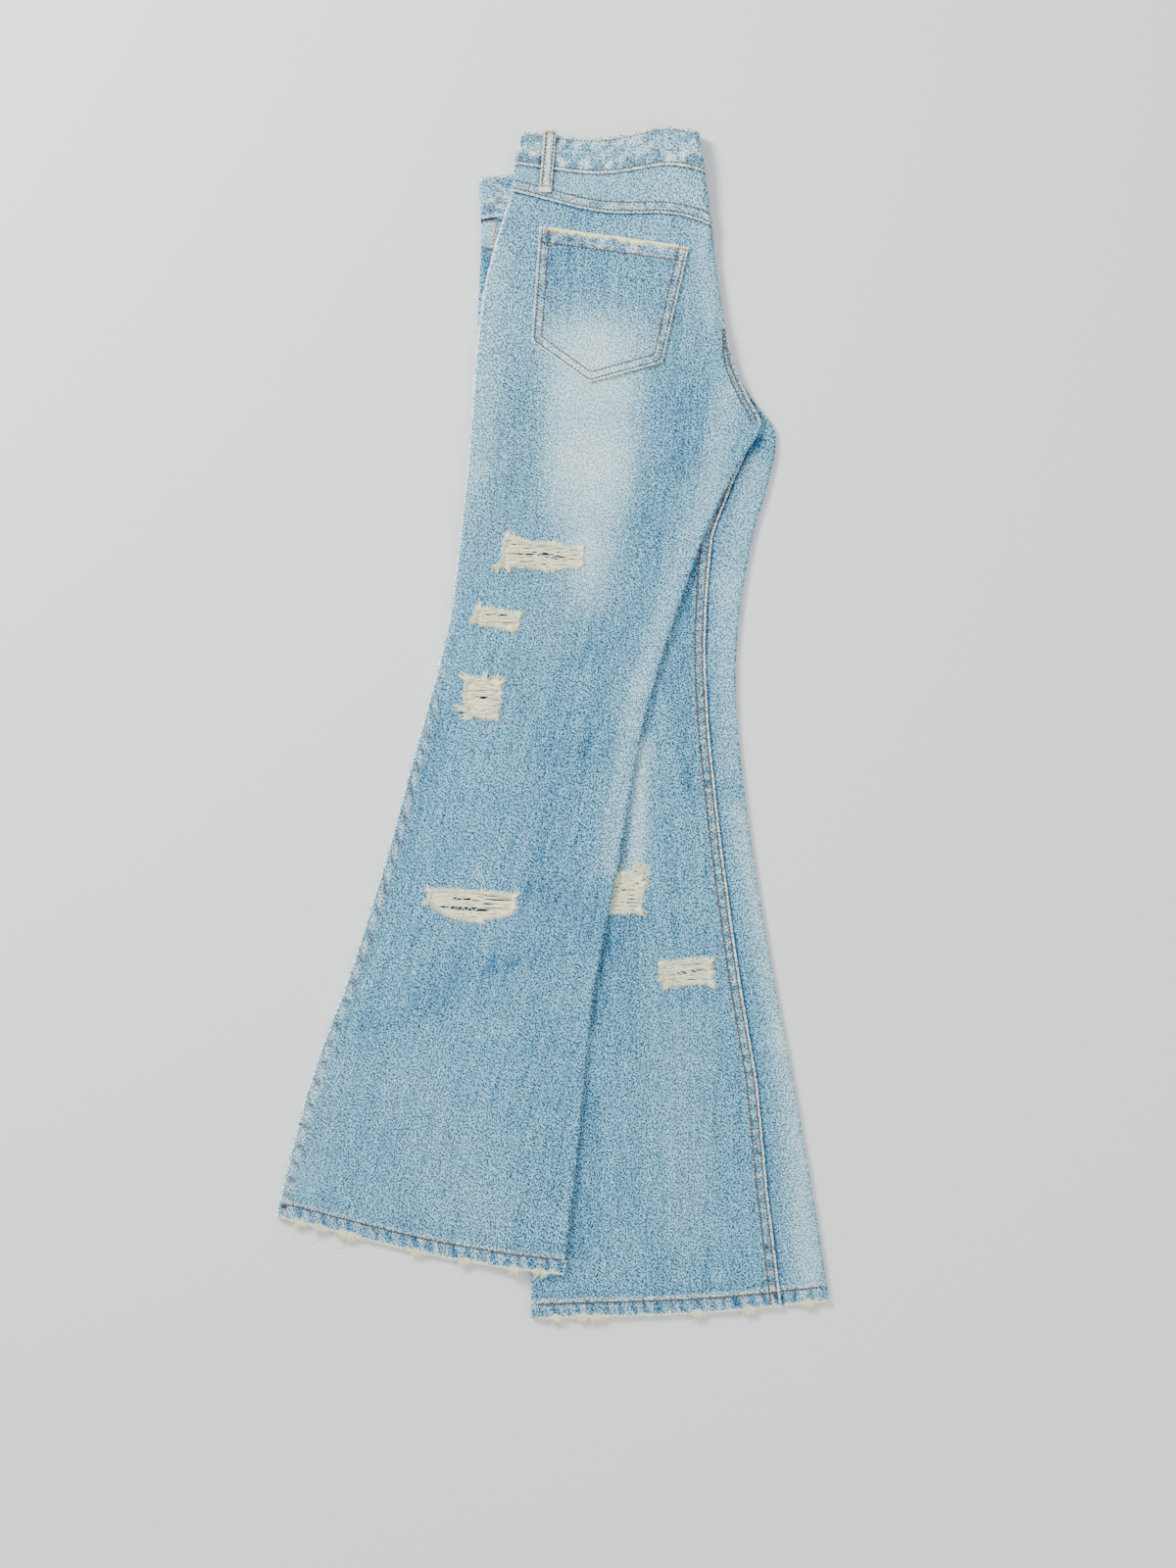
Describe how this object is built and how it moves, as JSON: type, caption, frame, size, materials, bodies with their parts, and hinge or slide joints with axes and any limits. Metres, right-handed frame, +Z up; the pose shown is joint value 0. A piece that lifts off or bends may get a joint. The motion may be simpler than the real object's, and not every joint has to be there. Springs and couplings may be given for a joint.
{
  "type": "folded ripped jeans",
  "caption": "Light-wash flared jeans with worn-through rips, folded in half along the centre back and laid flat on a surface.",
  "frame": {"origin": "on the surface the jeans lie on, under the middle of their outline", "axes": "+Z up from the surface, +Y along the length towards the waist, +X towards the centre-back fold"},
  "size_m": [0.5211, 1.1211, 0.0165],
  "materials": {
    "denim": "washed light blue denim with a fine twill, faded in patches",
    "denim_band": "washed light blue denim, mottled along its seams",
    "aged_metal": "dull aged metal"
  },
  "bodies": {
    "root": {"right_back_leg": "denim", "right_front_leg": "denim", "left_front_leg": "denim", "left_back_leg": "denim", "right_yoke": "denim", "left_yoke": "denim", "waistband": "denim_band", "left_back_pocket": "denim", "right_back_pocket": "denim", "left_belt_loop": "denim_band", "right_belt_loop": "denim_band", "waist_button": "aged_metal"}
  },
  "joints": []
}
